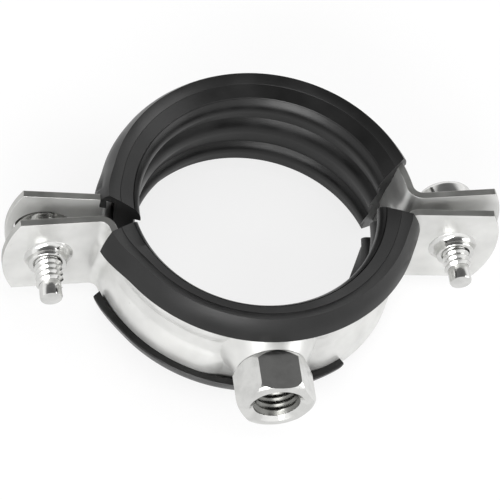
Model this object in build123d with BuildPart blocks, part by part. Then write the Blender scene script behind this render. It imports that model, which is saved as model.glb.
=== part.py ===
from build123d import *
from math import cos, sin, radians, sqrt
import os

# Two-piece rubber lined pipe clamp, millimetres.
# Origin: centre of the front half's arc. +Z is the pipe axis, -Y is where the boss nut points.

# ---- steel strip ----
sheet_thick = 1.6
strip_width = 24.0
band_outer_radius = 34.0
bend_radius = 2.0             # inside radius where an ear leaves the arc
ear_length = 20.9             # arc's outer face to the middle of the rounded ear end
ear_end_bulge = 2.9           # ear corners are this much shorter
front_ear_set = 4.5           # arc centre to the ear's gap-side face, at the arc
front_ear_splay = 0.0437      # how the front ears lean away from the gap, mm per mm
rear_ear_set = 1.2
rear_ear_splay = 0.06

# ---- how the rear half lies when the clamp is unfastened ----
rear_shift_x = 1.2
rear_shift_y = -2.45
rear_turn = -0.97             # degrees about Z

# ---- raised bead along the strip ----
bead_half_width = 4.4
bead_height = 0.95
bead_root_depth = 0.6
groove_inset = 0.7            # the pressed-in side is narrower than the bead
bead_nut_angle = 23.0         # straight part of the bead ends here, from the nut axis
bead_ear_angle = 10.5         # and starts here, from the ears

# ---- clamp screws ----
screw_inset = 9.6             # ear tip to the screw axis
screw_radius = 3.0
screw_length = 18.2           # under the head to the tip
point_radius = 2.45
point_length = 3.0
point_chamfer = 0.4
thread_run_out = 0.55
head_radius = 6.2
head_height = 4.6
head_round = 1.2
head_under_chamfer = 0.4
cross_length = 6.4
cross_width = 1.3
cross_depth = 2.4
left_head_gap = 5.49          # front ear's gap side to the underside of the head
right_head_gap = 6.99

# ---- extruded collars and ear openings ----
thread_clearance = 0.05
collar_wall = 1.15
collar_height = 2.3           # proud of the ear's front face
collar_foot_flare = 1.15
collar_foot_height = 1.1
collar_foot_round = 1.3
collar_rim_chamfer = 0.3
plunge_flare = 0.85           # drawn-in mouth on the gap side
plunge_depth = 0.8
plunge_round = 0.9
shank_hole_clearance = 0.5
head_hole_clearance = 0.4
mark_radius = 1.4             # small round dent on the front left ear
mark_depth = 0.25
mark_offset = 3.3             # from the arc's outer face
mark_z = 0.7

# ---- boss nut ----
nut_across_flats = 15.0
nut_length = 12.0
nut_bore_radius = 4.25
nut_bore_floor = 0.8          # left under the threaded bore, above the strip
nut_mouth_flare = 1.3
nut_mouth_depth = 1.1
nut_face_inset = 0.4          # turned face inside the flats
nut_chamfer = 0.95
nut_foot_radius = 6.3
nut_foot_depth = 1.0
weld_gap = 0.02

# ---- rubber liner section ----
fit_gap = 0.05                # rubber to steel
liner_wall = 4.1              # strip's inner face to the floor between the ribs
rib_height = 1.4
rib_land = 0.7                # flat crest that bears on the pipe
rib_step = 0.25
rib_swell = 0.3
lip_wall = 1.75
lip_swell = 0.4
ridge_inset = 0.6             # ridge inside the strip's outer face
ridge_cover = 2.5             # rubber beyond the strip's edge
crease_inset = 2.8
crease_cover = 1.4
lip_overlap = 2.8             # how far the lips reach over the strip
rest_flat = 0.7
rib_starts = (0.983, 0.408, -0.342)    # along the pipe, as shares of the half width
rib_crests = (0.708, 0.058, -0.592)
foot_share = -0.9

# ---- liner ends: angles from the ear side, at the groove floor and at the lip ----
front_right_cut = (7.5, 13.0)
front_left_cut = (15.9, 19.3)
rear_right_cut = (14.0, 16.75)
rear_left_cut = (-2.4, 2.6)

half_width = strip_width / 2
band_inner_radius = band_outer_radius - sheet_thick
outer_bend_radius = bend_radius + sheet_thick
ear_tip_reach = band_outer_radius + ear_length
ear_corner_reach = ear_tip_reach - ear_end_bulge
screw_reach = ear_tip_reach - screw_inset
tapped_radius = screw_radius + thread_clearance
collar_radius = tapped_radius + collar_wall
slot_inner = band_inner_radius - fit_gap
slot_outer = band_outer_radius + fit_gap
slot_top = half_width + fit_gap
groove_radius = band_inner_radius - liner_wall
pipe_radius = groove_radius - rib_height
lip_radius = slot_outer + lip_wall
lip_z = half_width - lip_overlap
ridge_radius = band_outer_radius - ridge_inset
ridge_z = half_width + ridge_cover
crease_radius = band_outer_radius - crease_inset
crease_z = half_width + crease_cover
foot_z = half_width * foot_share
clear_of_all = 2 * ear_tip_reach       # longer than anything it has to cut

front_frame = Plane.XY
rear_frame = Plane(
    origin=(rear_shift_x, rear_shift_y, 0),
    x_dir=(cos(radians(rear_turn)), sin(radians(rear_turn)), 0),
    z_dir=(0, 0, 1),
)


def radial_plane(frame, angle):
    """Plane through a half's arc axis: local x runs outwards at the angle, local y runs up."""
    turn = radians(angle)
    outward = frame.x_dir * cos(turn) + frame.y_dir * sin(turn)
    across = frame.x_dir * sin(turn) - frame.y_dir * cos(turn)
    return Plane(origin=frame.origin, x_dir=outward, z_dir=across)


def ear_face(reach, set_off, splay):
    """Distance from the arc centre line to an ear's gap-side face at a given reach."""
    return set_off + splay * (reach - band_outer_radius)


def crossing(radius, set_off, splay):
    """Where an ear face line meets a circle round the arc centre."""
    reach = radius
    for _ in range(20):
        reach = sqrt(radius**2 - ear_face(reach, set_off, splay) ** 2)
    return reach, ear_face(reach, set_off, splay)


def strip_outline(side, set_off, splay):
    """Arc with two bent ears, drawn in the open sketch; side is -1 for the front half, 1 for the rear."""
    far = ear_tip_reach + bend_radius
    root = band_outer_radius - sheet_thick / 2
    mid_face = ear_face(0, set_off, splay)
    root_face = ear_face(root, set_off, splay)
    far_face = ear_face(far, set_off, splay)
    Circle(band_outer_radius)
    Circle(band_inner_radius, mode=Mode.SUBTRACT)
    Polygon(
        (-far, side * far_face),
        (0, side * mid_face),
        (far, side * far_face),
        (far, -side * far),
        (-far, -side * far),
        align=None,
        mode=Mode.SUBTRACT,
    )
    for hand in (-1, 1):
        Polygon(
            (hand * root, side * root_face),
            (hand * far, side * far_face),
            (hand * far, side * (far_face + sheet_thick)),
            (hand * root, side * (root_face + sheet_thick)),
            align=None,
        )


def nearest_corner(corners, hand, side, radius, set_off, splay):
    """The outline's corner where an ear face meets the arc face of the given radius."""
    reach, height = crossing(radius, set_off, splay)
    spot = Vector(hand * reach, side * height)
    return min(corners, key=lambda corner: (Vector(corner.X, corner.Y) - spot).length)


def make_strip(frame, side, set_off, splay, bead_runs):
    """Bent strip with rounded ear ends and its bead; each run is a start angle, an arc and its round ends."""
    axis = Axis(frame.origin, frame.z_dir)
    inner_half = bead_half_width - groove_inset
    bead_arc_radius = (bead_half_width**2 + bead_height**2) / (2 * bead_height)
    with BuildPart() as strip:
        with BuildSketch(frame.offset(-half_width)) as outline:
            strip_outline(side, set_off, splay)
            for hand in (-1, 1):
                corners = outline.sketch_local.vertices()
                inside = nearest_corner(corners, hand, side, band_inner_radius, set_off, splay)
                fillet(inside, outer_bend_radius)
                corners = outline.sketch_local.vertices()
                outer_set = set_off + sheet_thick
                outside = nearest_corner(corners, hand, side, band_outer_radius, outer_set, splay)
                fillet(outside, bend_radius)
        extrude(amount=strip_width)

        # rounded ear ends, cut as seen along Y
        with BuildSketch(Plane(origin=frame.origin, x_dir=frame.x_dir, z_dir=-frame.y_dir)):
            with BuildLine():
                Line((-ear_corner_reach, -half_width), (ear_corner_reach, -half_width))
                ThreePointArc(
                    (ear_corner_reach, -half_width), (ear_tip_reach, 0), (ear_corner_reach, half_width)
                )
                Line((ear_corner_reach, half_width), (-ear_corner_reach, half_width))
                ThreePointArc(
                    (-ear_corner_reach, half_width), (-ear_tip_reach, 0), (-ear_corner_reach, -half_width)
                )
            make_face()
        extrude(amount=clear_of_all, both=True, mode=Mode.INTERSECT)

        for start, arc, round_ends in bead_runs:
            # raised side of the bead
            with BuildSketch(radial_plane(frame, start)):
                with BuildLine():
                    Line(
                        (band_outer_radius, -bead_half_width),
                        (band_outer_radius - bead_root_depth, -bead_half_width),
                    )
                    Line(
                        (band_outer_radius - bead_root_depth, -bead_half_width),
                        (band_outer_radius - bead_root_depth, bead_half_width),
                    )
                    Line(
                        (band_outer_radius - bead_root_depth, bead_half_width),
                        (band_outer_radius, bead_half_width),
                    )
                    ThreePointArc(
                        (band_outer_radius, bead_half_width),
                        (band_outer_radius + bead_height, 0),
                        (band_outer_radius, -bead_half_width),
                    )
                make_face()
            revolve(axis=axis, revolution_arc=arc)

            # its rounded ends
            for angle, onward in round_ends:
                end_plane = radial_plane(frame, angle)
                with BuildSketch(end_plane):
                    with BuildLine():
                        RadiusArc(
                            (band_outer_radius + bead_height, 0),
                            (band_outer_radius, bead_half_width),
                            bead_arc_radius,
                        )
                        Line(
                            (band_outer_radius, bead_half_width),
                            (band_outer_radius - bead_root_depth, bead_half_width),
                        )
                        Line(
                            (band_outer_radius - bead_root_depth, bead_half_width),
                            (band_outer_radius - bead_root_depth, 0),
                        )
                        Line(
                            (band_outer_radius - bead_root_depth, 0),
                            (band_outer_radius + bead_height, 0),
                        )
                    make_face()
                revolve(axis=Axis(end_plane.origin, end_plane.x_dir * -onward), revolution_arc=180)

            # pressed-in side
            with BuildSketch(radial_plane(frame, start)):
                with BuildLine():
                    Line(
                        (band_inner_radius, -inner_half),
                        (band_inner_radius - bead_root_depth, -inner_half),
                    )
                    Line(
                        (band_inner_radius - bead_root_depth, -inner_half),
                        (band_inner_radius - bead_root_depth, inner_half),
                    )
                    Line(
                        (band_inner_radius - bead_root_depth, inner_half),
                        (band_inner_radius, inner_half),
                    )
                    ThreePointArc(
                        (band_inner_radius, inner_half),
                        (band_inner_radius + bead_height, 0),
                        (band_inner_radius, -inner_half),
                    )
                make_face()
            revolve(axis=axis, revolution_arc=arc, mode=Mode.SUBTRACT)
    return strip


def cut_point(radius, angle, hand, side):
    """Point at an angle from the ear side of a half, in that half's own plane."""
    return Vector(hand * radius * cos(radians(angle)), side * radius * sin(radians(angle)))


def make_liner(frame, side, ear_set, right_cut, left_cut):
    """Ribbed rubber section round the arc axis, kept between two slanted ends and clear of the bends."""
    axis = Axis(frame.origin, frame.z_dir)
    lip_middle = (lip_radius + ridge_radius) / 2 + lip_swell
    bend_end = side * (ear_set + sheet_thick + bend_radius + fit_gap)
    end_lines = []
    for hand, cut in ((-1, left_cut), (1, right_cut)):
        inner = cut_point(groove_radius, cut[0], hand, side)
        outer = cut_point(lip_radius, cut[1], hand, side)
        end_lines.append((inner - (outer - inner), outer + (outer - inner) * 2))
    with BuildPart() as liner:
        with BuildSketch(radial_plane(frame, 0)):
            with BuildLine():
                Polyline(
                    (lip_radius, -lip_z),
                    (slot_outer, -lip_z),
                    (slot_outer, -slot_top),
                    (slot_inner, -slot_top),
                    (slot_inner, slot_top),
                    (slot_outer, slot_top),
                    (slot_outer, lip_z),
                    (lip_radius, lip_z),
                )
                ThreePointArc(
                    (lip_radius, lip_z), (lip_middle, (lip_z + ridge_z) / 2), (ridge_radius, ridge_z)
                )
                Polyline(
                    (ridge_radius, ridge_z),
                    (crease_radius, crease_z),
                    (groove_radius, half_width * rib_starts[0]),
                )
                for number, start_share in enumerate(rib_starts):
                    start_z = half_width * start_share
                    crest_z = half_width * rib_crests[number]
                    land_z = crest_z + rib_land
                    ThreePointArc(
                        (groove_radius, start_z),
                        ((groove_radius + pipe_radius) / 2 - rib_swell, (start_z + land_z) / 2 + rib_swell),
                        (pipe_radius, land_z),
                    )
                    next_z = foot_z
                    if number + 1 < len(rib_starts):
                        next_z = half_width * rib_starts[number + 1]
                    Polyline(
                        (pipe_radius, land_z),
                        (pipe_radius, crest_z),
                        (groove_radius, crest_z - rib_step),
                        (groove_radius, next_z),
                    )
                Polyline(
                    (groove_radius, foot_z),
                    (ridge_radius - rest_flat, -ridge_z),
                    (ridge_radius, -ridge_z),
                )
                ThreePointArc(
                    (ridge_radius, -ridge_z), (lip_middle, -(lip_z + ridge_z) / 2), (lip_radius, -lip_z)
                )
            make_face()
        revolve(axis=axis)
        # the slanted ends
        with BuildSketch(frame):
            with BuildLine():
                Polyline(
                    end_lines[0][0],
                    end_lines[1][0],
                    end_lines[1][1],
                    (clear_of_all, side * clear_of_all),
                    (-clear_of_all, side * clear_of_all),
                    end_lines[0][1],
                    close=True,
                )
            make_face()
        extrude(amount=clear_of_all, both=True, mode=Mode.INTERSECT)
        # the lips stop short of the bends
        with BuildSketch(frame):
            for hand in (-1, 1):
                Polygon(
                    (hand * (slot_inner + slot_outer) / 2, bend_end),
                    (hand * clear_of_all, bend_end),
                    (hand * clear_of_all, -side * clear_of_all),
                    (hand * (slot_inner + slot_outer) / 2, -side * clear_of_all),
                    align=None,
                )
        extrude(amount=slot_top, both=True, mode=Mode.SUBTRACT)
    return liner


def make_screw(axis_x, seat_y):
    """Clamp screw along Y with its head at +Y and a plain dog point at -Y."""
    top_y = seat_y + head_height
    tip_y = seat_y - screw_length
    with BuildPart() as screw:
        with BuildSketch(Plane(origin=(axis_x, 0, 0), x_dir=(1, 0, 0), z_dir=(0, 0, 1))):
            with BuildLine():
                Line((0, tip_y), (0, top_y))
                Line((0, top_y), (head_radius - head_round, top_y))
                RadiusArc(
                    (head_radius - head_round, top_y), (head_radius, top_y - head_round), head_round
                )
                Polyline(
                    (head_radius, top_y - head_round),
                    (head_radius, seat_y + head_under_chamfer),
                    (head_radius - head_under_chamfer, seat_y),
                    (screw_radius, seat_y),
                    (screw_radius, tip_y + point_length + thread_run_out),
                    (point_radius, tip_y + point_length),
                    (point_radius, tip_y + point_chamfer),
                    (point_radius - point_chamfer, tip_y),
                    (0, tip_y),
                )
            make_face()
        revolve(axis=Axis((axis_x, 0, 0), (0, 1, 0)))
        with BuildSketch(Plane(origin=(axis_x, top_y, 0), x_dir=(1, 0, 0), z_dir=(0, -1, 0))):
            Rectangle(cross_length, cross_width)
            Rectangle(cross_width, cross_length)
        extrude(amount=cross_depth, mode=Mode.SUBTRACT)
    return screw


# ---- front band: strip, collars, tapped holes ----
front_runs = (
    (-180 + bead_ear_angle, 90 - bead_ear_angle - bead_nut_angle, ((-90 - bead_nut_angle, 1),)),
    (-90 + bead_nut_angle, 90 - bead_ear_angle - bead_nut_angle, ((-90 + bead_nut_angle, -1),)),
)
front_strip = make_strip(front_frame, -1, front_ear_set, front_ear_splay, front_runs)
gap_face_y = -ear_face(screw_reach, front_ear_set, front_ear_splay)
ear_front_y = gap_face_y - sheet_thick
collar_rim_y = ear_front_y - collar_height
collar_foot_radius = collar_radius + collar_foot_flare
plunge_radius = tapped_radius + plunge_flare
with BuildPart() as front_band:
    add(front_strip.part)
    for hand in (-1, 1):
        with BuildSketch(Plane(origin=(hand * screw_reach, 0, 0), x_dir=(1, 0, 0), z_dir=(0, 0, 1))):
            with BuildLine():
                Polyline(
                    (0, collar_rim_y),
                    (0, ear_front_y + sheet_thick / 2),
                    (collar_foot_radius, ear_front_y + sheet_thick / 2),
                    (collar_foot_radius, ear_front_y),
                )
                RadiusArc(
                    (collar_foot_radius, ear_front_y),
                    (collar_radius, ear_front_y - collar_foot_height),
                    collar_foot_round,
                )
                Polyline(
                    (collar_radius, ear_front_y - collar_foot_height),
                    (collar_radius, collar_rim_y + collar_rim_chamfer),
                    (collar_radius - collar_rim_chamfer, collar_rim_y),
                    (0, collar_rim_y),
                )
            make_face()
        revolve(axis=Axis((hand * screw_reach, 0, 0), (0, 1, 0)))
        with BuildSketch(Plane(origin=(hand * screw_reach, 0, 0), x_dir=(1, 0, 0), z_dir=(0, 0, 1))):
            with BuildLine():
                Polyline(
                    (0, collar_rim_y - sheet_thick),
                    (0, gap_face_y + sheet_thick),
                    (plunge_radius, gap_face_y + sheet_thick),
                    (plunge_radius, gap_face_y),
                )
                RadiusArc(
                    (plunge_radius, gap_face_y),
                    (tapped_radius, gap_face_y - plunge_depth),
                    -plunge_round,
                )
                Polyline(
                    (tapped_radius, gap_face_y - plunge_depth),
                    (tapped_radius, collar_rim_y - sheet_thick),
                    (0, collar_rim_y - sheet_thick),
                )
            make_face()
        revolve(axis=Axis((hand * screw_reach, 0, 0), (0, 1, 0)), mode=Mode.SUBTRACT)

    # small round dent
    mark_x = -(band_outer_radius + mark_offset)
    mark_face_y = -ear_face(-mark_x, front_ear_set, front_ear_splay) - sheet_thick
    mark_ball = (mark_radius**2 + mark_depth**2) / (2 * mark_depth)
    with Locations((mark_x, mark_face_y + mark_depth - mark_ball, mark_z)):
        Sphere(mark_ball, mode=Mode.SUBTRACT)

# ---- rear band: strip, shank hole on the right, head opening on the left ----
rear_runs = ((bead_ear_angle, 180 - 2 * bead_ear_angle, ()),)
rear_strip = make_strip(rear_frame, 1, rear_ear_set, rear_ear_splay, rear_runs)
with BuildPart() as rear_band:
    add(rear_strip.part)
    with BuildSketch(Plane(origin=(screw_reach, 0, 0), x_dir=(1, 0, 0), z_dir=(0, -1, 0))):
        Circle(screw_radius + shank_hole_clearance)
    extrude(amount=sheet_thick * 5, both=True, mode=Mode.SUBTRACT)
    with BuildSketch(Plane(origin=(-screw_reach, 0, 0), x_dir=(1, 0, 0), z_dir=(0, -1, 0))):
        Circle(head_radius + head_hole_clearance)
    extrude(amount=sheet_thick * 5, both=True, mode=Mode.SUBTRACT)

# ---- rubber liners ----
front_liner = make_liner(front_frame, -1, front_ear_set, front_right_cut, front_left_cut)
rear_liner = make_liner(rear_frame, 1, rear_ear_set, rear_right_cut, rear_left_cut)

# ---- boss nut ----
nut_corner_radius = nut_across_flats / sqrt(3)
nut_near_y = -band_outer_radius - nut_length
nut_far_y = -band_outer_radius
with BuildPart() as boss_nut:
    with BuildSketch(Plane(origin=(0, nut_far_y, 0), x_dir=(1, 0, 0), z_dir=(0, -1, 0))):
        RegularPolygon(radius=nut_across_flats / 2, side_count=6, major_radius=False)
    extrude(amount=nut_length)
    # turned chamfers on both ends
    with BuildSketch(Plane.XY):
        with BuildLine():
            Polyline(
                (0, nut_near_y),
                (nut_across_flats / 2 - nut_face_inset, nut_near_y),
                (nut_corner_radius, nut_near_y + nut_chamfer),
                (nut_corner_radius, nut_far_y - nut_chamfer),
                (nut_across_flats / 2 - nut_face_inset, nut_far_y),
                (0, nut_far_y),
                close=True,
            )
        make_face()
    revolve(axis=Axis.Y, mode=Mode.INTERSECT)
    # welded foot, hollowed to the strip's outer face
    with BuildSketch(Plane(origin=(0, nut_far_y + nut_foot_depth, 0), x_dir=(1, 0, 0), z_dir=(0, -1, 0))):
        Circle(nut_foot_radius)
    extrude(amount=nut_foot_depth * 1.5)
    with BuildSketch(Plane.XY):
        Circle(band_outer_radius + weld_gap)
    extrude(amount=clear_of_all, both=True, mode=Mode.SUBTRACT)
    # threaded bore with a countersunk mouth
    with BuildSketch(Plane.XY):
        with BuildLine():
            Polyline(
                (0, nut_near_y),
                (nut_bore_radius + nut_mouth_flare, nut_near_y),
                (nut_bore_radius, nut_near_y + nut_mouth_depth),
                (nut_bore_radius, nut_far_y - nut_bore_floor),
                (0, nut_far_y - nut_bore_floor),
                close=True,
            )
        make_face()
    revolve(axis=Axis.Y, mode=Mode.SUBTRACT)

# ---- clamp screws ----
left_screw = make_screw(-screw_reach, gap_face_y + left_head_gap)
right_screw = make_screw(screw_reach, gap_face_y + right_head_gap)

os.makedirs("parts", exist_ok=True)

front_band.part.label = "front_band"
export_step(front_band.part, "parts/front_band.step")
rear_band.part.label = "rear_band"
export_step(rear_band.part, "parts/rear_band.step")
front_liner.part.label = "front_liner"
export_step(front_liner.part, "parts/front_liner.step")
rear_liner.part.label = "rear_liner"
export_step(rear_liner.part, "parts/rear_liner.step")
boss_nut.part.label = "boss_nut"
export_step(boss_nut.part, "parts/boss_nut.step")
left_screw.part.label = "left_screw"
export_step(left_screw.part, "parts/left_screw.step")
right_screw.part.label = "right_screw"
export_step(right_screw.part, "parts/right_screw.step")
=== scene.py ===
import bpy
import bmesh
from math import atan, atan2, cos, degrees, pi, radians, sin, sqrt
from mathutils import Matrix, Vector


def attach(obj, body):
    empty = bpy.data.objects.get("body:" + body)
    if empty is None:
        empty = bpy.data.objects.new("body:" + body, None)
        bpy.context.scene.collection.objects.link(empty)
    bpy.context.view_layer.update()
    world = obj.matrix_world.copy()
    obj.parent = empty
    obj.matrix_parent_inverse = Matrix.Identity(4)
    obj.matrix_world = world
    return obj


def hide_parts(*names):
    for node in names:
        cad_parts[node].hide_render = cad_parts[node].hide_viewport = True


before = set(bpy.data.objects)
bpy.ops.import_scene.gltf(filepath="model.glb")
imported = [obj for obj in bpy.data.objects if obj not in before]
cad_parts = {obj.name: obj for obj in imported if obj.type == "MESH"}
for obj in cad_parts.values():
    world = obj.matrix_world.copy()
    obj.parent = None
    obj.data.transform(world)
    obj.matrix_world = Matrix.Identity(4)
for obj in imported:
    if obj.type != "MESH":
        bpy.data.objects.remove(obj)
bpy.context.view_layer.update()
mm = 0.001               # the sizes below are in millimetres
mergeReach = 0.0008      # points closer than this become one


def linearColour(code):
    # sRGB hex to the linear values that the shader sockets take
    channels = [int(code[i:i + 2], 16) / 255 for i in (1, 3, 5)]
    linear = [c / 12.92 if c <= 0.04045 else ((c + 0.055) / 1.055) ** 2.4 for c in channels]
    return (*linear, 1.0)


def smoothStep(low, high, value):
    t = min(1.0, max(0.0, (value - low) / (high - low)))
    return t * t * (3 - 2 * t)


def addNode(tree, kind, inputs=None, **settings):
    # one node with its settings; an input is a value or the output socket that feeds it
    node = tree.nodes.new(kind)
    for name, value in settings.items():
        setattr(node, name, value)
    for name, value in (inputs or {}).items():
        if isinstance(value, bpy.types.NodeSocket):
            tree.links.new(value, node.inputs[name])
        else:
            node.inputs[name].default_value = value
    return node


def rampStops(ramp, stops):
    # colour ramp stops as (place, hex)
    elements = ramp.color_ramp.elements
    while len(elements) > 1:
        elements.remove(elements[-1])
    elements[0].position = stops[0][0]
    elements[0].color = linearColour(stops[0][1])
    for place, code in stops[1:]:
        element = elements.new(place)
        element.color = linearColour(code)


def newMaterial(name):
    material = bpy.data.materials.new(name)
    material.use_nodes = True
    material.node_tree.nodes.clear()
    return material, material.node_tree


zincLook = {
    "base": "#D4D4D2",
    "shade": "#C6C6C4",
    "scuff": "#A9A9A6",
    "roughness": 0.36,
    "metallic": 0.62,     # the passivated skin scatters part of the light
    "mottleMm": 7.0,      # soft unevenness of the rolled sheet
    "grainMm": 0.4,       # fine crystal grain of the plating
    "scuffMm": 1.6,       # rubbed specks
    "toneSpan": (0.3, 0.62),
    "scuffSpan": (0.66, 0.74),
    "scuffMost": 0.7,
    "glossSpan": (0.4, 0.75),
    "glossChange": (-0.03, 0.1),
    "waveDepthMm": 0.4,
    "waveStrength": 0.1,
    "grainDepthMm": 0.05,
    "grainStrength": 0.06,
}


def zincPlate(name, look):
    # zinc electroplate on cold rolled steel: clean silver-grey, faintly wavy, a few rubbed specks
    material, tree = newMaterial(name)
    place = addNode(tree, "ShaderNodeTexCoord").outputs["Object"]
    mottle = addNode(tree, "ShaderNodeTexNoise", {
        "Vector": place, "Scale": 1000 / look["mottleMm"], "Detail": 2.0})
    grain = addNode(tree, "ShaderNodeTexNoise", {
        "Vector": place, "Scale": 1000 / look["grainMm"], "Detail": 2.0})
    rubbed = addNode(tree, "ShaderNodeTexNoise", {
        "Vector": place, "Scale": 1000 / look["scuffMm"], "Detail": 5.0, "Roughness": 0.7})
    tone = addNode(tree, "ShaderNodeValToRGB", {"Fac": mottle.outputs["Fac"]})
    rampStops(tone, list(zip(look["toneSpan"], (look["shade"], look["base"]))))
    worn = addNode(tree, "ShaderNodeMapRange", {
        "Value": rubbed.outputs["Fac"],
        "From Min": look["scuffSpan"][0], "From Max": look["scuffSpan"][1],
        "To Min": 0.0, "To Max": look["scuffMost"]})
    colour = addNode(tree, "ShaderNodeMix", {
        "Factor": worn.outputs["Result"], "A": tone.outputs["Color"],
        "B": linearColour(look["scuff"])}, data_type="RGBA")
    gloss = addNode(tree, "ShaderNodeMapRange", {
        "Value": rubbed.outputs["Fac"],
        "From Min": look["glossSpan"][0], "From Max": look["glossSpan"][1],
        "To Min": look["roughness"] + look["glossChange"][0],
        "To Max": look["roughness"] + look["glossChange"][1]})
    wave = addNode(tree, "ShaderNodeBump", {
        "Height": mottle.outputs["Fac"], "Strength": look["waveStrength"],
        "Distance": look["waveDepthMm"] * mm})
    fine = addNode(tree, "ShaderNodeBump", {
        "Height": grain.outputs["Fac"], "Strength": look["grainStrength"],
        "Distance": look["grainDepthMm"] * mm, "Normal": wave.outputs["Normal"]})
    shader = addNode(tree, "ShaderNodeBsdfPrincipled", {
        "Base Color": colour.outputs["Result"], "Metallic": look["metallic"],
        "Roughness": gloss.outputs["Result"], "Normal": fine.outputs["Normal"]})
    addNode(tree, "ShaderNodeOutputMaterial", {"Surface": shader.outputs["BSDF"]})
    return material


rubberLook = {
    "base": "#0C0C0C",
    "worn": "#171717",
    "dust": "#6A6A68",
    "sheen": 0.38,        # specular level of the dull skin
    "roughness": 0.36,
    "mottleMm": 9.0,      # slow change of tone along the extrusion
    "grainMm": 0.5,       # matte skin, drawn coarser than it is so that it shows
    "speckMm": 2.6,       # dust
    "toneSpan": (0.35, 0.75),
    "dustSpan": (0.68, 0.8),
    "dustMost": 0.35,
    "glossSpan": (0.3, 0.7),
    "glossChange": (-0.06, 0.1),
    "grainDepthMm": 0.08,
    "grainStrength": 0.15,
}


def extrudedRubber(name, look):
    # EPDM, extruded and cut: deep matte black with a soft sheen, light dust and a few scuffs
    material, tree = newMaterial(name)
    place = addNode(tree, "ShaderNodeTexCoord").outputs["Object"]
    mottle = addNode(tree, "ShaderNodeTexNoise", {
        "Vector": place, "Scale": 1000 / look["mottleMm"], "Detail": 4.0})
    grain = addNode(tree, "ShaderNodeTexNoise", {
        "Vector": place, "Scale": 1000 / look["grainMm"], "Detail": 3.0})
    specks = addNode(tree, "ShaderNodeTexNoise", {
        "Vector": place, "Scale": 1000 / look["speckMm"], "Detail": 8.0, "Roughness": 0.7})
    tone = addNode(tree, "ShaderNodeValToRGB", {"Fac": mottle.outputs["Fac"]})
    rampStops(tone, list(zip(look["toneSpan"], (look["base"], look["worn"]))))
    dust = addNode(tree, "ShaderNodeMapRange", {
        "Value": specks.outputs["Fac"],
        "From Min": look["dustSpan"][0], "From Max": look["dustSpan"][1],
        "To Min": 0.0, "To Max": look["dustMost"]})
    colour = addNode(tree, "ShaderNodeMix", {
        "Factor": dust.outputs["Result"], "A": tone.outputs["Color"],
        "B": linearColour(look["dust"])}, data_type="RGBA")
    gloss = addNode(tree, "ShaderNodeMapRange", {
        "Value": mottle.outputs["Fac"],
        "From Min": look["glossSpan"][0], "From Max": look["glossSpan"][1],
        "To Min": look["roughness"] + look["glossChange"][0],
        "To Max": look["roughness"] + look["glossChange"][1]})
    bump = addNode(tree, "ShaderNodeBump", {
        "Height": grain.outputs["Fac"], "Strength": look["grainStrength"],
        "Distance": look["grainDepthMm"] * mm})
    shader = addNode(tree, "ShaderNodeBsdfPrincipled", {
        "Base Color": colour.outputs["Result"], "Metallic": 0.0,
        "Roughness": gloss.outputs["Result"], "IOR": 1.5,
        "Specular IOR Level": look["sheen"], "Normal": bump.outputs["Normal"]})
    addNode(tree, "ShaderNodeOutputMaterial", {"Surface": shader.outputs["BSDF"]})
    return material


zincSheet = zincPlate("zincPlatedSheet", zincLook)
# turned and rolled parts keep a bright, tight shine
zincTurned = zincPlate("zincPlatedTurnedSteel", {
    **zincLook, "metallic": 1.0, "roughness": 0.13, "mottleMm": 3.0,
    "grainStrength": 0.05, "waveStrength": 0.06})
# sheared metal with a thin coat: duller, darker and rougher to the eye than the faces
slitEdge = zincPlate("slitSheetEdge", {
    **zincLook, "metallic": 1.0, "base": "#B8B8B5", "shade": "#9C9C99", "grainStrength": 0.3})
# tapped thread in the bore: its darker grey is painted shade for the deep hole
tappedSteelPaintedShade = zincPlate("tappedSteelPaintedShade", {
    **zincLook, "metallic": 1.0, "base": "#7E7E7B", "shade": "#5E5E5B", "roughness": 0.26,
    "grainStrength": 0.1, "waveStrength": 0.05})
rubberBlack = extrudedRubber("extrudedBlackRubber", rubberLook)
print("materials made")


def pieceFrom(bm, name, body, nodes, material, smoothDeg):
    # turns a bmesh in millimetres into a finished piece at the origin
    bmesh.ops.remove_doubles(bm, verts=bm.verts, dist=mergeReach)
    bmesh.ops.recalc_face_normals(bm, faces=bm.faces)
    bmesh.ops.scale(bm, vec=(mm, mm, mm), verts=bm.verts)
    mesh = bpy.data.meshes.new(name)
    bm.to_mesh(mesh)
    bm.free()
    for face in mesh.polygons:
        face.use_smooth = True
    mesh.set_sharp_from_angle(angle=radians(smoothDeg))
    piece = bpy.data.objects.new(name, mesh)
    bpy.context.scene.collection.objects.link(piece)
    mesh.materials.append(material)
    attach(piece, body)
    if nodes:
        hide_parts(*nodes)
    return piece


def roundEdges(piece, width, fromDeg):
    # narrow rounding on every edge that turns by more than fromDeg
    soft = piece.modifiers.new("edges", "BEVEL")
    soft.width = width * mm
    soft.segments = 2
    soft.limit_method = "ANGLE"
    soft.angle_limit = radians(fromDeg)
    soft.harden_normals = True


def wire(bm, points, close=False):
    # a chain of edges through points
    verts = [bm.verts.new(p) for p in points]
    edges = [bm.edges.new(pair) for pair in zip(verts, verts[1:])]
    if close:
        edges.append(bm.edges.new((verts[-1], verts[0])))
    return verts, edges


def joinInto(bm, other):
    # moves one bmesh into another
    mesh = bpy.data.meshes.new("joining")
    other.to_mesh(mesh)
    other.free()
    bm.from_mesh(mesh)
    bpy.data.meshes.remove(mesh)


def lathe(bm, profile, steps, close=False):
    # spins (radius, height) points once round local Z
    verts, edges = wire(bm, [(r, 0, z) for r, z in profile], close)
    bmesh.ops.spin(bm, geom=verts + edges, cent=(0, 0, 0), axis=(0, 0, 1), angle=2 * pi,
                   steps=steps, use_merge=True, use_duplicate=False)


def arcPoints(centre, radius, startDeg, endDeg, count):
    turns = [radians(startDeg + (endDeg - startDeg) * i / count) for i in range(count + 1)]
    return [(centre[0] + radius * cos(turn), centre[1] + radius * sin(turn)) for turn in turns]


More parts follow.
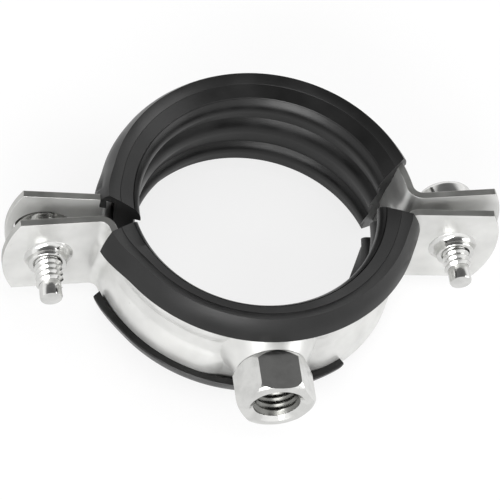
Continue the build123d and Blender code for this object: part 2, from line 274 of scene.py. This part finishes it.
bandSpec = {
    "thick": 1.6, "halfWidth": 12.0, "outerRadius": 34.0, "bendRadius": 2.0,
    "cornerReach": 52.0, "tipReach": 54.9,       # the ear's corners and the middle of its end
    "channelHalf": 2.3, "channelDepth": 1.15,    # floor of the channel
    "marginRise": 5.7, "marginPower": 2.6,       # rolled margins beside it
    "padHalf": 9.4, "padCorner": 3.0,            # flat pad round the nut
    "bendFade": 0.7,                             # how the channel runs out into the bend
    "frontSet": 4.5, "frontSplay": 0.0437, "rearSet": 1.2, "rearSplay": 0.06,
    "rearShift": (1.2, -2.45, 0.0), "rearTurnDeg": -0.97,
    "screwReach": 45.3, "tappedHole": 4.55, "shankHole": 3.5, "headHole": 6.6,
    "columns": 48, "arcSteps": 72, "bendSteps": 10, "earSteps": 16, "earRings": 5,
    "solveRounds": 20, "edgeRound": 0.14, "edgeDeg": 50, "smoothDeg": 40,
}


def bendCentre(spec, setOff, splay):
    # centre of the bend that touches both the arc and the leaning ear
    far = spec["outerRadius"] + spec["bendRadius"]
    reach = far
    for _ in range(spec["solveRounds"]):
        lean = splay * (reach - spec["outerRadius"])
        rise = setOff + spec["thick"] + spec["bendRadius"] + lean
        reach = sqrt(far ** 2 - rise ** 2)
    return Vector((reach, rise, 0))


def channelDip(spec, height, fromTop):
    # how far the strip lies below its rolled margins; a pad spreads round the top of the arc
    across = abs(height) - spec["channelHalf"]
    along = fromTop - spec["padHalf"] if spec["pad"] else spec["marginRise"]
    corner = spec["padCorner"]
    inside = min(across, along)
    if across < corner and along < corner:
        inside = corner - sqrt((corner - across) ** 2 + (corner - along) ** 2)
    risen = min(1.0, max(0.0, inside / spec["marginRise"]))
    return spec["channelDepth"] * (1 - risen) ** spec["marginPower"]


def halfStrip(spec, setOff, splay, holeRadius, holeReach):
    # right half of a band lying on +Y: quarter arc, bend, flat ear with a hole; middle surface
    bm = bmesh.new()
    middle = spec["outerRadius"] - spec["thick"] / 2
    half = spec["halfWidth"]
    count = spec["columns"]
    centre = bendCentre(spec, setOff, splay)
    startDeg = degrees(atan2(centre.y, centre.x))
    sweep = 2 * pi - pi / 2 + atan(splay) - (pi + radians(startDeg))
    levels = [half - 2 * half * i / count for i in range(count + 1)]
    column, edges = wire(bm, [(0, middle, z) for z in levels])
    swept = bmesh.ops.spin(bm, geom=column + edges, cent=(0, 0, 0), axis=(0, 0, -1),
                           angle=radians(90 - startDeg), steps=spec["arcSteps"])
    arcCount = len(bm.verts)
    swept = bmesh.ops.spin(bm, geom=swept["geom_last"], cent=centre, axis=(0, 0, 1),
                           angle=sweep, steps=spec["bendSteps"])
    lastVerts = [g for g in swept["geom_last"] if isinstance(g, bmesh.types.BMVert)]
    lastVerts.sort(key=lambda v: -v.co.z)
    lastEdges = [g for g in swept["geom_last"] if isinstance(g, bmesh.types.BMEdge)]

    # channel between the rolled margins, fading out into the bend
    for number, v in enumerate(list(bm.verts)):
        fromTop = (pi / 2 - atan2(v.co.y, v.co.x)) * middle
        dip = channelDip(spec, v.co.z, fromTop)
        if number < arcCount:
            v.co -= Vector((v.co.x, v.co.y, 0)).normalized() * dip
        else:
            toCentre = (Vector((centre.x, centre.y, v.co.z)) - v.co).normalized()
            turned = (atan2(-toCentre.y, -toCentre.x) - (-pi + radians(startDeg))) % (2 * pi)
            v.co -= toCentre * dip * max(0.0, 1 - turned / sweep) ** spec["bendFade"]

    # flat ear: its outline runs out along one edge, round the end and back, then meets the hole
    def rise(reach):
        return setOff + spec["thick"] / 2 + splay * (reach - spec["outerRadius"])

    reachStart = lastVerts[0].co.x
    bulge = spec["tipReach"] - spec["cornerReach"]
    endRadius = (half ** 2 + bulge ** 2) / (2 * bulge)
    reaches = [reachStart + (spec["cornerReach"] - reachStart) * i / spec["earSteps"]
               for i in range(1, spec["earSteps"] + 1)]
    outline = [(reach, half) for reach in reaches]
    outline += [(spec["tipReach"] - endRadius + sqrt(endRadius ** 2 - z ** 2), z)
                for z in levels[1:-1]]
    outline += [(reach, -half) for reach in reversed(reaches)]
    ring = [bm.verts.new((reach, rise(reach), z)) for reach, z in outline]
    loop = [lastVerts[0]] + ring + list(reversed(lastVerts[1:]))
    chain = [lastVerts[0]] + ring + [lastVerts[-1]]
    loopEdges = lastEdges + [bm.edges.new(pair) for pair in zip(chain, chain[1:])]
    hole = []
    for v in loop:
        turn = atan2(v.co.z, v.co.x - holeReach)
        reach = holeReach + holeRadius * cos(turn)
        hole.append(bm.verts.new((reach, rise(reach), holeRadius * sin(turn))))
    holeEdges = [bm.edges.new(pair) for pair in zip(hole, hole[1:] + hole[:1])]
    bridged = bmesh.ops.bridge_loops(bm, edges=loopEdges + holeEdges)
    bmesh.ops.subdivide_edges(bm, edges=bridged["edges"], cuts=spec["earRings"],
                              use_grid_fill=False)
    return bm


def makeBand(name, body, node, spec, side, setOff, splay, holes, place):
    bm = bmesh.new()
    for hand in (1, -1):
        holeRadius, holeReach = holes[hand]
        half = halfStrip(spec, setOff, splay, holeRadius, holeReach)
        bmesh.ops.scale(half, vec=(hand, 1, 1), verts=half.verts)
        joinInto(bm, half)
    if side < 0:
        bmesh.ops.scale(bm, vec=(1, -1, 1), verts=bm.verts)
    bmesh.ops.transform(bm, matrix=place, verts=bm.verts)
    piece = pieceFrom(bm, name, body, [node], zincSheet, spec["smoothDeg"])
    piece.data.materials.append(slitEdge)
    wall = piece.modifiers.new("wall", "SOLIDIFY")
    wall.material_offset_rim = 1      # the strip's cut edges take the second material
    wall.thickness = spec["thick"] * mm
    wall.offset = 0.0
    wall.use_even_offset = True
    roundEdges(piece, spec["edgeRound"], spec["edgeDeg"])


# the rear half lies a little askew, and its holes stand round the front half's screws
frontPlace = Matrix.Identity(4)
rearTurn = Matrix.Rotation(radians(bandSpec["rearTurnDeg"]), 4, "Z")
rearPlace = Matrix.Translation(bandSpec["rearShift"]) @ rearTurn
turnBack = rearPlace.inverted()
screwReach = bandSpec["screwReach"]
rightHole = turnBack @ Vector((screwReach, 0, 0))
leftHole = turnBack @ Vector((-screwReach, 0, 0))
tappedHole = (bandSpec["tappedHole"], screwReach)
makeBand("frontBandSheet", "front_half", "front_band", {**bandSpec, "pad": True}, -1,
         bandSpec["frontSet"], bandSpec["frontSplay"], {1: tappedHole, -1: tappedHole}, frontPlace)
makeBand("rearBandSheet", "rear_half", "rear_band", {**bandSpec, "pad": False}, 1,
         bandSpec["rearSet"], bandSpec["rearSplay"],
         {1: (bandSpec["shankHole"], rightHole.x), -1: (bandSpec["headHole"], -leftHole.x)},
         rearPlace)

collarSpec = {
    "rimY": -8.9, "earFrontY": -6.594, "gapY": -4.994, "steps": 72, "smoothDeg": 45,
    # (radius, height): flared foot above the ear's front, rim from the top, mouth from its back
    "foot": [(5.75, -0.35), (5.5, -0.06), (5.2, 0.1), (4.85, 0.3), (4.55, 0.62), (4.35, 0.95),
             (4.22, 1.3)],
    "rim": [(4.2, -0.35), (4.1, -0.12), (3.88, 0.0), (3.4, 0.0), (3.16, -0.1), (3.05, -0.32)],
    "mouth": [(3.05, 0.9), (3.15, 0.5), (3.4, 0.2), (3.9, 0.02), (4.7, -0.02), (4.9, 0.4)],
}


def makeCollar(name, hand, spec):
    # extruded, tapped collar: flared foot, straight neck, broken rim
    tall = spec["earFrontY"] - spec["rimY"]
    thick = spec["gapY"] - spec["earFrontY"]
    profile = list(spec["foot"])
    profile += [(r, tall + z) for r, z in spec["rim"]]
    profile += [(r, z - thick) for r, z in spec["mouth"]]
    bm = bmesh.new()
    lathe(bm, profile, spec["steps"], close=True)
    stand = Matrix.Translation((hand * screwReach, spec["earFrontY"], 0))
    bmesh.ops.transform(bm, matrix=stand @ Matrix.Rotation(pi / 2, 4, "X"), verts=bm.verts)
    pieceFrom(bm, name, "front_half", [], zincTurned, spec["smoothDeg"])


makeCollar("leftCollar", -1, collarSpec)
makeCollar("rightCollar", 1, collarSpec)
print("bands made")


linerSpec = {
    "slotInner": 32.35, "slotOuter": 34.06, "slotTop": 12.05,      # slot that the strip sits in
    "lip": (35.8, 9.2), "lipRound": 0.25, "lipDrop": 0.02, "lipSwell": 0.42,
    "ridge": (33.4, 14.5), "crease": (31.2, 13.4),                 # (radius, height)
    "creaseFold": [(0.1, 0.06), (0.0, -0.05), (-0.1, -0.03)],      # fine score at the crease
    "sill": [(0.25, 0.14), (0.0, -0.2)],                           # small step above the first rib
    "groove": 28.3, "pipe": 26.9,                                  # floor and crests of the ribs
    "starts": (11.8, 4.9, -4.1), "crests": (8.5, 0.7, -7.1),
    "land": 0.5, "step": 0.25, "swell": 0.34,
    "flankShares": (0.0, 0.15, 0.3, 0.45, 0.6, 0.75, 0.9, 1.0),
    "footZ": -10.8, "footInset": 0.6,
    "channelLevels": (2.2, 2.6, 3.2, 4.0, 5.0, 6.4, 8.0),
    "springFrom": (11.0, 13.2), "springSkin": 0.3, "lowerSpring": 0.4,
    "steps": 150, "edgeRound": 0.1, "edgeDeg": 24, "leastGap": 0.01, "cutSnap": 0.0001,
}

frontEnds = {
    "fromDeg": -184, "sweepDeg": 192, "outward": 1,
    # three points of the plane that cuts each end: outside, inside and below
    "cuts": [((35.25, -8.15, 9.2), (28.1, -3.7, 12.0), (27.9, 0.6, -12.0)),
             ((-35.15, -12.6, 9.2), (-28.4, -6.9, 12.0), (-34.8, -11.8, -9.2))],
    # where an end springs outwards: place, reach and amount
    "springs": [((-34.5, -11.0), 11.0, 1.6), ((34.0, -7.5), 7.0, 0.5)],
    # the lower flange has come off the strip along a chord on the right
    "slip": {"midDeg": -27.0, "chord": 23.9, "fromZ": -5.0, "tuck": 1.5,
             "leastLean": 0.1, "freedSpan": (0.2, 0.9), "clearance": 0.06, "skin": 0.02},
}

rearEnds = {
    "fromDeg": -8, "sweepDeg": 196, "outward": -1,
    "cuts": [((34.3, 8.6, 9.2), (28.7, 3.7, 12.0), (27.1, 4.8, -10.7)),
             ((-35.8, 0.3, 9.2), (-26.0, -3.6, 12.0), (-35.8, 0.3, -9.2))],
    "springs": [((-35.5, 0.5), 9.0, 1.0)],
    "slip": None,
}


def linerSection(spec):
    # closed outline as (radius, height)
    lipR, lipZ = spec["lip"]
    ridgeR, ridgeZ = spec["ridge"]
    creaseR, creaseZ = spec["crease"]
    groove = spec["groove"]
    flange = [(spec["slotInner"], spec["slotTop"]), (spec["slotOuter"], spec["slotTop"]),
              (spec["slotOuter"], lipZ), (lipR - spec["lipRound"], lipZ - spec["lipDrop"]),
              (lipR, lipZ + spec["lipRound"])]
    flange += [(lipR + (ridgeR - lipR) * t + spec["lipSwell"] * sin(pi * t),
                lipZ + (ridgeZ - lipZ) * t) for t in (0.2, 0.4, 0.6, 0.8)]
    flange.append((ridgeR, ridgeZ))
    points = list(flange)
    points += [(creaseR + dr, creaseZ + dz) for dr, dz in spec["creaseFold"]]
    points += [(groove + dr, spec["starts"][0] + dz) for dr, dz in spec["sill"]]
    for startZ, crestZ in zip(spec["starts"], spec["crests"]):
        landZ = crestZ + spec["land"]
        points += [(groove + (spec["pipe"] - groove) * t - spec["swell"] * sin(pi * t),
                    startZ + (landZ - startZ) * t) for t in spec["flankShares"]]
        points += [(spec["pipe"], crestZ), (groove, crestZ - spec["step"])]
    points += [(groove, spec["footZ"]), (ridgeR - spec["footInset"], -ridgeZ)]
    points += [(r, -z) for r, z in reversed(flange)]
    # the wall behind the sheet follows its channel
    levels = [-z for z in reversed(spec["channelLevels"])] + list(spec["channelLevels"])
    padless = {**bandSpec, "pad": False}
    points += [(spec["slotInner"] - channelDip(padless, z, 0.0), z) for z in levels]
    cleaned = []
    for point in points:
        if not cleaned or (Vector(point) - Vector(cleaned[-1])).length > spec["leastGap"]:
            cleaned.append(point)
    return cleaned


def slipInwards(bm, spec, slip):
    # where the lower flange is off the strip's edge it runs straight across, inside the ring
    for v in bm.verts:
        radius = Vector((v.co.x, v.co.y)).length
        lean = cos(atan2(v.co.y, v.co.x) - radians(slip["midDeg"]))
        pull = 0.0
        if lean > slip["leastLean"]:
            pull = max(0.0, spec["groove"] - slip["chord"] / lean)
        share = 1 - smoothStep(-spec["slotTop"], slip["fromZ"], v.co.z)
        if v.co.z < 0 and radius > spec["slotOuter"] - slip["skin"]:
            # the lip turns flat under the strip's edge as it comes free
            freed = smoothStep(*slip["freedSpan"], pull)
            v.co.z += (min(v.co.z, -spec["slotTop"] - slip["clearance"]) - v.co.z) * freed
            share = 1.0
            pull += slip["tuck"] * freed
        shrink = (radius - pull * share) / radius
        v.co.x *= shrink
        v.co.y *= shrink


def makeLiner(name, body, node, spec, place, ends):
    bm = bmesh.new()
    verts, edges = wire(bm, [(r, 0, z) for r, z in linerSection(spec)], close=True)
    start = Matrix.Rotation(radians(ends["fromDeg"]), 3, "Z")
    bmesh.ops.rotate(bm, cent=(0, 0, 0), matrix=start, verts=verts)
    bmesh.ops.spin(bm, geom=verts + edges, cent=(0, 0, 0), axis=(0, 0, 1),
                   angle=radians(ends["sweepDeg"]), steps=spec["steps"])
    if ends["slip"]:
        slipInwards(bm, spec, ends["slip"])
    bmesh.ops.transform(bm, matrix=place, verts=bm.verts)
    for outer, inner, lower in ends["cuts"]:
        outer, inner, lower = Vector(outer), Vector(inner), Vector(lower)
        normal = (outer - inner).cross(lower - inner).normalized()
        if normal.y * ends["outward"] < 0:
            normal = -normal
        cut = bmesh.ops.bisect_plane(bm, geom=bm.verts[:] + bm.edges[:] + bm.faces[:],
                                     dist=spec["cutSnap"], plane_co=inner,
                                     plane_no=normal, clear_outer=True)
        rim = [g for g in cut["geom_cut"] if isinstance(g, bmesh.types.BMEdge)]
        bmesh.ops.contextual_create(bm, geom=rim)
    for spot, reach, amount in ends["springs"]:
        # only the outer skin and the ridge spring outwards, and the lower lip less
        for v in bm.verts:
            flat = Vector((v.co.x, v.co.y))
            near = 1 - smoothStep(0.0, reach, (flat - Vector(spot)).length)
            free = smoothStep(*spec["springFrom"], v.co.z)
            if flat.length > spec["slotOuter"] - spec["springSkin"]:
                free = 1.0
            if v.co.z <= 0:
                free *= spec["lowerSpring"]
            push = flat.normalized() * amount * near * free
            v.co.x += push.x
            v.co.y += push.y
    piece = pieceFrom(bm, name, body, [node], rubberBlack, spec["edgeDeg"])
    roundEdges(piece, spec["edgeRound"], spec["edgeDeg"])


makeLiner("frontRubber", "front_half", "front_liner", linerSpec, frontPlace, frontEnds)
makeLiner("rearRubber", "rear_half", "rear_liner", linerSpec, rearPlace, rearEnds)
print("rubber made")


screwSpec = {
    "length": 18.2, "major": 3.0, "minor": 2.42, "pitch": 1.35,
    "leadRadius": 2.3, "leadBack": 0.15,                         # cone that the first turns rise from
    "coreClear": 0.03, "overlap": 0.2, "loop": 0.02,
    "pointRadius": 2.45, "pointLength": 3.0, "neck": 0.25,
    "pointEdge": [(-0.45, 0.0), (-0.15, 0.12), (0.0, 0.45)],     # from the point's rim
    "headRadius": 6.2, "headHeight": 5.3, "headRound": 1.25,
    "headEdge": [(-0.5, 0.0), (-0.12, 0.12), (0.0, 0.5)],        # from the head's lower rim
    "crossArm": 3.1, "crossHalf": 0.62, "crossDepth": 2.4, "crossTaper": 0.5,
    "leftSeat": 0.5, "rightSeat": 2.0, "leftTurnDeg": 20, "rightTurnDeg": 65,
    "steps": 72, "smoothDeg": 38,
}

threadShape = {
    # one pitch of the flank as (share of the depth, share of the pitch)
    "flank": [(0.0, 0.0), (0.82, 0.33), (1.0, 0.42), (1.0, 0.5), (0.82, 0.6), (0.0, 0.93),
              (0.0, 1.0)],
    "steps": 40, "seam": 0.001,
}


def helixThread(shape, crest, root, pitch, low, high, limit):
    # flanks spun up a right-hand helix; limit(z, radius) keeps a radius in or out of a cone
    turns = int((high - low) / pitch) + 1
    steps = shape["steps"]
    bm = bmesh.new()
    verts, edges = wire(bm, [(root + (crest - root) * deep, 0, low + up * pitch)
                             for deep, up in shape["flank"]])
    bmesh.ops.spin(bm, geom=verts + edges, cent=(0, 0, 0), axis=(0, 0, 1),
                   dvec=(0, 0, pitch / steps), angle=2 * pi * turns, steps=steps * turns)
    bmesh.ops.remove_doubles(bm, verts=bm.verts, dist=shape["seam"])
    for v in bm.verts:
        v.co.z = min(v.co.z, high)
        radius = Vector((v.co.x, v.co.y)).length
        wanted = limit(v.co.z, radius)
        v.co.x *= wanted / radius
        v.co.y *= wanted / radius
    return bm


def crossRecess(bm, top, spec):
    # flat head top with a cross recess, pushed in and drawn together
    rim = [e for e in bm.edges
           if e.is_boundary and all(abs(v.co.z - top) < mergeReach for v in e.verts)]
    arm, half = spec["crossArm"], spec["crossHalf"]
    outline = [(arm, -half), (arm, half), (half, half), (half, arm), (-half, arm), (-half, half),
               (-arm, half), (-arm, -half), (-half, -half), (-half, -arm), (half, -arm),
               (half, -half)]
    verts, edges = wire(bm, [(x, y, top) for x, y in outline], close=True)
    bmesh.ops.triangle_fill(bm, edges=rim + edges, use_beauty=True)
    for face in [f for f in bm.faces if all(v in verts for v in f.verts)]:
        bm.faces.remove(face)
    sunk = bmesh.ops.extrude_edge_only(bm, edges=edges)["geom"]
    low = [g for g in sunk if isinstance(g, bmesh.types.BMVert)]
    taper = spec["crossTaper"]
    bmesh.ops.translate(bm, vec=(0, 0, -spec["crossDepth"]), verts=low)
    bmesh.ops.scale(bm, vec=(taper, taper, 1), verts=low)
    floorEdges = [g for g in sunk if isinstance(g, bmesh.types.BMEdge)
                  and all(v in low for v in g.verts)]
    bmesh.ops.contextual_create(bm, geom=floorEdges)


def makeScrew(name, body, node, hand, seatY, spec, turnDeg):
    bm = bmesh.new()
    tip = -spec["length"]
    shoulder = tip + spec["pointLength"]
    core = spec["minor"] - spec["coreClear"]      # the shank lies just under the thread's root
    head, top, rounding = spec["headRadius"], spec["headHeight"], spec["headRound"]
    profile = [(0, tip)]
    profile += [(spec["pointRadius"] + dr, tip + dz) for dr, dz in spec["pointEdge"]]
    profile += [(spec["pointRadius"], shoulder), (core, shoulder + spec["neck"]),
                (core, -spec["loop"]), (core, 0)]
    profile += [(head + dr, dz) for dr, dz in spec["headEdge"]]
    profile += arcPoints((head - rounding, top - rounding), rounding, 0, 90, 8)
    lathe(bm, profile, spec["steps"])
    crossRecess(bm, top, spec)
    leadStart = shoulder - spec["leadBack"]
    joinInto(bm, helixThread(
        threadShape, spec["major"], spec["minor"], spec["pitch"],
        shoulder - spec["overlap"], spec["overlap"],
        lambda z, r: min(r, spec["leadRadius"] + max(0.0, z - leadStart))))
    stand = Matrix.Translation((hand * screwReach, seatY, 0))
    turn = Matrix.Rotation(-pi / 2, 4, "X") @ Matrix.Rotation(radians(turnDeg), 4, "Z")
    bmesh.ops.transform(bm, matrix=stand @ turn, verts=bm.verts)
    pieceFrom(bm, name, body, [node], zincTurned, spec["smoothDeg"])


makeScrew("leftClampScrew", "left_clamp_screw", "left_screw", -1, screwSpec["leftSeat"],
          screwSpec, screwSpec["leftTurnDeg"])
makeScrew("rightClampScrew", "right_clamp_screw", "right_screw", 1, screwSpec["rightSeat"],
          screwSpec, screwSpec["rightTurnDeg"])
print("screws made")


nutSpec = {
    "acrossFlats": 15.0, "length": 10.0, "farY": -36.0,          # farY: where it meets its foot
    "faceRadius": 7.16, "chamfer": 2.2, "crownStepDeg": 10,
    "mouthRadius": 6.1, "mouthDepth": 1.6,
    "threadCrest": 4.25, "threadRoot": 5.0, "pitch": 1.5, "threadFrom": -2.5, "threadEnd": 0.1,
    "proud": 0.01, "past": 1.0, "boreClear": 0.04,               # so that no two cuts coincide
    "steps": 96, "edgeRound": 0.12, "edgeDeg": 25, "smoothDeg": 30, "threadSmoothDeg": 38,
}


def carved(bm, cutter, operation):
    # boolean of two bmeshes, handed back as a new bmesh
    objects = []
    for source in (bm, cutter):
        bmesh.ops.recalc_face_normals(source, faces=source.faces)
        mesh = bpy.data.meshes.new("carving")
        source.to_mesh(mesh)
        source.free()
        thing = bpy.data.objects.new("carving", mesh)
        bpy.context.scene.collection.objects.link(thing)
        objects.append(thing)
    cut = objects[0].modifiers.new("cut", "BOOLEAN")
    cut.operation = operation
    cut.solver = "EXACT"
    cut.object = objects[1]
    bpy.context.view_layer.update()
    ready = objects[0].evaluated_get(bpy.context.evaluated_depsgraph_get())
    made = bpy.data.meshes.new_from_object(ready)
    result = bmesh.new()
    result.from_mesh(made)
    for thing in objects:
        mesh = thing.data
        bpy.data.objects.remove(thing)
        bpy.data.meshes.remove(mesh)
    bpy.data.meshes.remove(made)
    return result


def makeNut(spec):
    # hexagon along local Z, near face at the top; chamfers and mouth are cut by turned shapes,
    # and the hexagon runs past both ends, because shared end faces cut wrongly at random
    length = spec["length"]
    corner = spec["acrossFlats"] / sqrt(3)
    bm = bmesh.new()
    stand = Matrix.Translation((0, 0, length / 2)) @ Matrix.Rotation(radians(30), 4, "Z")
    bmesh.ops.create_cone(bm, cap_ends=True, segments=6, radius1=corner, radius2=corner,
                          depth=length + 2 * spec["past"], matrix=stand)
    wide = corner + spec["proud"]
    crown = []
    for turnDeg in range(0, 91, spec["crownStepDeg"]):
        turn = radians(turnDeg)
        crown.append((wide - (corner - spec["faceRadius"]) * (1 - cos(turn)),
                      length - spec["chamfer"] * (1 - sin(turn))))
    turned = bmesh.new()
    lathe(turned, [(0, 0), (spec["faceRadius"], 0), (wide, spec["chamfer"])] + crown
          + [(0, length)], spec["steps"])
    bm = carved(bm, turned, "INTERSECT")
    bore = bmesh.new()
    root = spec["threadRoot"] + spec["boreClear"]
    lathe(bore, [(0, -1), (root, -1), (root, length - spec["mouthDepth"] * 0.5),
                 (spec["mouthRadius"], length), (spec["mouthRadius"], length + 1),
                 (0, length + 1)], spec["steps"])
    return carved(bm, bore, "DIFFERENCE")


toBand = Matrix.Translation((0, nutSpec["farY"], 0)) @ Matrix.Rotation(pi / 2, 4, "X")
nutBm = makeNut(nutSpec)
bmesh.ops.transform(nutBm, matrix=toBand, verts=nutBm.verts)
bossNut = pieceFrom(nutBm, "bossNut", "front_half", ["boss_nut"], zincTurned,
                    nutSpec["smoothDeg"])
roundEdges(bossNut, nutSpec["edgeRound"], nutSpec["edgeDeg"])

coneSlope = (nutSpec["mouthRadius"] - nutSpec["threadCrest"]) / nutSpec["mouthDepth"]
threadBm = helixThread(
    threadShape, nutSpec["threadCrest"], nutSpec["threadRoot"], nutSpec["pitch"],
    nutSpec["threadFrom"], nutSpec["length"] - nutSpec["threadEnd"],
    lambda z, r: max(r, nutSpec["mouthRadius"] - (nutSpec["length"] - z) * coneSlope))
bmesh.ops.transform(threadBm, matrix=toBand, verts=threadBm.verts)
# the thread's darker grey is painted shade for the deep bore
pieceFrom(threadBm, "bossThread", "front_half", [], tappedSteelPaintedShade,
          nutSpec["threadSmoothDeg"])

footSpec = {
    "near": 7.5, "far": 10.6, "lap": 0.4, "hollow": 1.3, "padRadius": 32.85, "sink": 0.3,
    "skirt": 1.2, "around": 96, "along": 10, "smoothDeg": 38,
}


def makeFoot(spec, topY):
    # the strip is drawn up round the boss in a hollow cone that runs out on the pad
    bm = bmesh.new()
    rings = []
    for step in range(spec["along"] + 1):
        share = step / spec["along"]
        radius = spec["near"] + (spec["far"] - spec["near"]) * share
        fall = 1 - (1 - share) ** spec["hollow"]
        ring = []
        for number in range(spec["around"]):
            turn = 2 * pi * number / spec["around"]
            x, z = radius * cos(turn), radius * sin(turn)
            padY = -sqrt(spec["padRadius"] ** 2 - x * x) + spec["sink"] * share
            ring.append(bm.verts.new((x, topY + (padY - topY) * fall, z)))
        rings.append(ring)
    # a hidden back closes the shell
    skirt = spec["skirt"]
    rings.append([bm.verts.new((v.co.x, v.co.y + skirt, v.co.z)) for v in rings[-1]])
    rings.append([bm.verts.new((v.co.x, topY + skirt, v.co.z)) for v in rings[0]])
    rings.append(rings[0])
    for low, high in zip(rings, rings[1:]):
        for corners in zip(low, low[1:] + low[:1], high[1:] + high[:1], high):
            bm.faces.new(corners)
    return bm


pieceFrom(makeFoot(footSpec, nutSpec["farY"] - footSpec["lap"]), "bossWeldFoot", "front_half", [],
          zincSheet, footSpec["smoothDeg"])
print("boss made")


stageSpec = {
    "floorZ": -14.5, "floorSize": 3.0, "floorColour": "#F7F7F7",
    "glow": 0.8,           # share of white that the camera and reflections see
    "sky": [(0.0, "#FFFFFF"), (0.45, "#F4F4F4"), (0.7, "#707070"), (1.0, "#5C5C5C")],
    "skyStrength": 1.35,
}

floorBm = bmesh.new()
bmesh.ops.create_grid(floorBm, x_segments=1, y_segments=1, size=stageSpec["floorSize"])
bmesh.ops.translate(floorBm, vec=(0, 0, stageSpec["floorZ"] * mm), verts=floorBm.verts)
floorMesh = bpy.data.meshes.new("floor")
floorBm.to_mesh(floorMesh)
floorBm.free()
floor = bpy.data.objects.new("floor", floorMesh)
bpy.context.scene.collection.objects.link(floor)
# white paper sweep: plain and matte, it takes the shadow and shows white beyond it
floorMaterial, floorTree = newMaterial("whitePaperSweep")
floorDiffuse = addNode(floorTree, "ShaderNodeBsdfDiffuse", {
    "Color": linearColour(stageSpec["floorColour"])})
floorGlow = addNode(floorTree, "ShaderNodeEmission", {
    "Color": linearColour("#FFFFFF"), "Strength": 1.0})
floorPath = addNode(floorTree, "ShaderNodeLightPath")
floorSeen = addNode(floorTree, "ShaderNodeMath", {
    0: floorPath.outputs["Is Camera Ray"], 1: floorPath.outputs["Is Glossy Ray"]},
    operation="MAXIMUM")
floorShare = addNode(floorTree, "ShaderNodeMath", {
    0: floorSeen.outputs["Value"], 1: stageSpec["glow"]}, operation="MULTIPLY")
floorMix = addNode(floorTree, "ShaderNodeMixShader", {
    0: floorShare.outputs["Value"], 1: floorDiffuse.outputs["BSDF"],
    2: floorGlow.outputs["Emission"]})
addNode(floorTree, "ShaderNodeOutputMaterial", {"Surface": floorMix.outputs["Shader"]})
floorMesh.materials.append(floorMaterial)

world = bpy.data.worlds.new("studio")
bpy.context.scene.world = world
world.use_nodes = True
worldTree = world.node_tree
worldTree.nodes.clear()
skyPlace = addNode(worldTree, "ShaderNodeTexCoord").outputs["Generated"]
skySplit = addNode(worldTree, "ShaderNodeSeparateXYZ", {"Vector": skyPlace})
skyTone = addNode(worldTree, "ShaderNodeValToRGB", {"Fac": skySplit.outputs["Z"]})
rampStops(skyTone, stageSpec["sky"])
skyLight = addNode(worldTree, "ShaderNodeBackground", {
    "Color": skyTone.outputs["Color"], "Strength": stageSpec["skyStrength"]})
addNode(worldTree, "ShaderNodeOutputWorld", {"Surface": skyLight.outputs["Background"]})

# place in metres, size in metres, power in watts; each lamp looks at the object
lampSpec = {
    "frontSoftbox": {"place": (-0.4, -0.95, 0.5), "size": (0.8, 0.5), "watts": 9.5, "glossy": True},
    "rightSoftbox": {"place": (0.9, -0.2, 0.5), "size": (0.5, 0.8), "watts": 4, "glossy": True},
    "topFill": {"place": (0.0, 0.1, 1.2), "size": (1.2, 1.2), "watts": 5, "glossy": False},
}

for name, spec in lampSpec.items():
    lamp = bpy.data.lights.new(name, "AREA")
    lamp.shape = "RECTANGLE"
    lamp.size, lamp.size_y = spec["size"]
    lamp.energy = spec["watts"]
    lampObject = bpy.data.objects.new(name, lamp)
    lampObject.location = Vector(spec["place"])
    lampObject.rotation_euler = (-Vector(spec["place"])).to_track_quat("-Z", "Y").to_euler()
    lampObject.visible_glossy = spec["glossy"]
    bpy.context.scene.collection.objects.link(lampObject)

cameraSpec = {
    "place": (-0.12581, -0.34070, 0.51146),
    "turnDeg": (33.893, -8.944, -7.488),
    "sensor": 36,
    "lens": 205.92,
    "clipStart": 0.02,
}

cameraData = bpy.data.cameras.new("camera")
cameraData.sensor_width = cameraSpec["sensor"]
cameraData.lens = cameraSpec["lens"]
cameraData.clip_start = cameraSpec["clipStart"]
camera = bpy.data.objects.new("camera", cameraData)
camera.location = cameraSpec["place"]
camera.rotation_euler = [radians(angle) for angle in cameraSpec["turnDeg"]]
bpy.context.scene.collection.objects.link(camera)
bpy.context.scene.camera = camera
bpy.context.scene.view_settings.view_transform = "Standard"
print("stage made")
